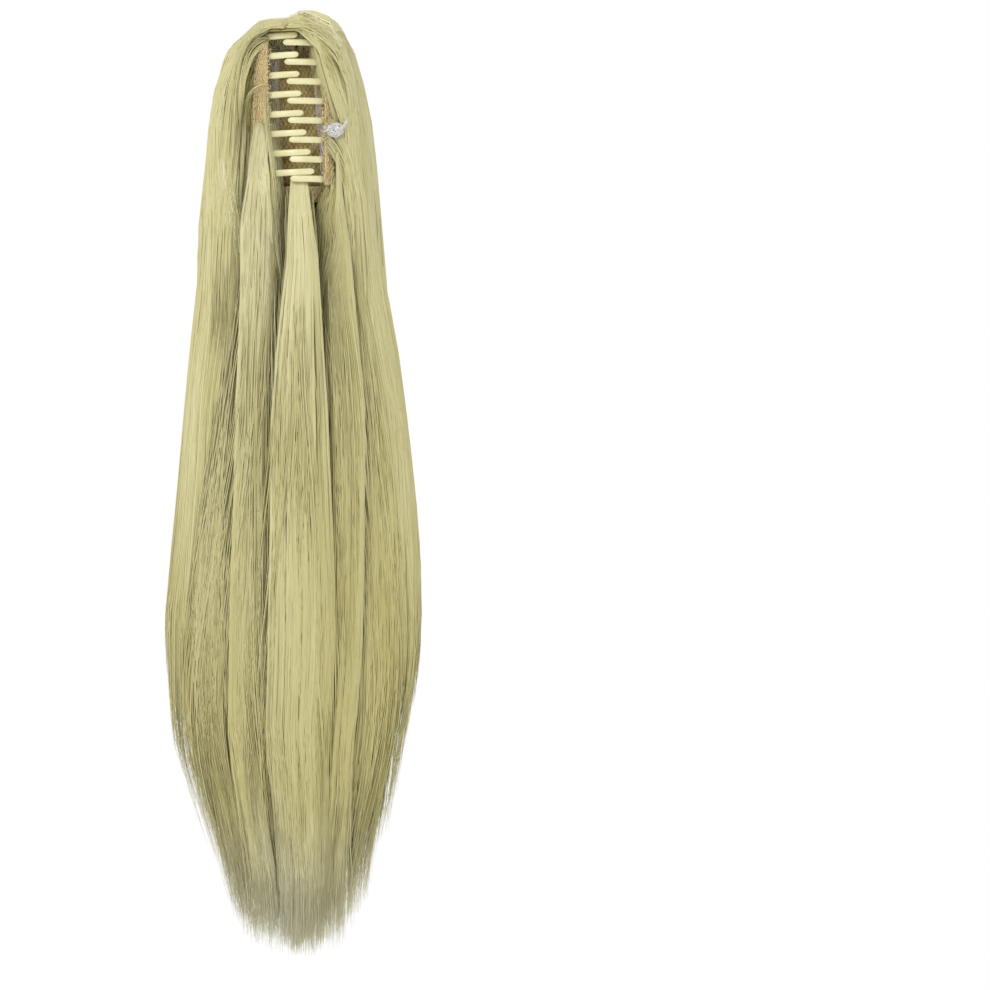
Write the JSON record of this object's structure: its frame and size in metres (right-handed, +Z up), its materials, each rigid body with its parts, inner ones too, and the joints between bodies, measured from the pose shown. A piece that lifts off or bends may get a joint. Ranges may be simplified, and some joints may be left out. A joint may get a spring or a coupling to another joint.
{
  "type": "claw clip ponytail hairpiece",
  "caption": "Long straight pale-blonde ponytail hairpiece sewn to a sprung two-jaw claw clip with interlacing teeth and net sides.",
  "frame": {"origin": "centre of the grip between the two closed jaws, where the wearer's own ponytail or bun sits", "axes": "+Z up along the hinge, from the tips of the hair to the crown; -Y from the hinge through the tips of the teeth, towards the head; +X to the right seen from the head"},
  "size_m": [0.1622, 0.0898, 0.5982],
  "materials": {
    "plastic": "satin",
    "steel": "satin",
    "netting": "matte",
    "fibre": "satin",
    "thread": "matte"
  },
  "bodies": {
    "left_half": {"left_jaw": "plastic", "hinge_pin": "steel", "hinge_spring": "steel", "left_net": "netting", "net_bridge": "netting", "left_hair": "fibre", "back_hair": "fibre", "left_inner_lock": "fibre", "centre_lock": "fibre"},
    "right_half": {"right_jaw": "plastic", "right_net": "netting", "right_hair": "fibre", "right_inner_lock": "fibre", "thread_knot": "thread"}
  },
  "joints": [
    {"name": "jaw_hinge", "type": "hinge", "parent": "left_half", "child": "right_half", "pos_m": [0, 0.022, 0], "axis": [0, 0, 1], "range_deg": [0, 40], "stiffness_Nm_per_rad": 0.2, "springref_deg": -34.38, "deforming": ["back_hair", "net_bridge"]}
  ]
}
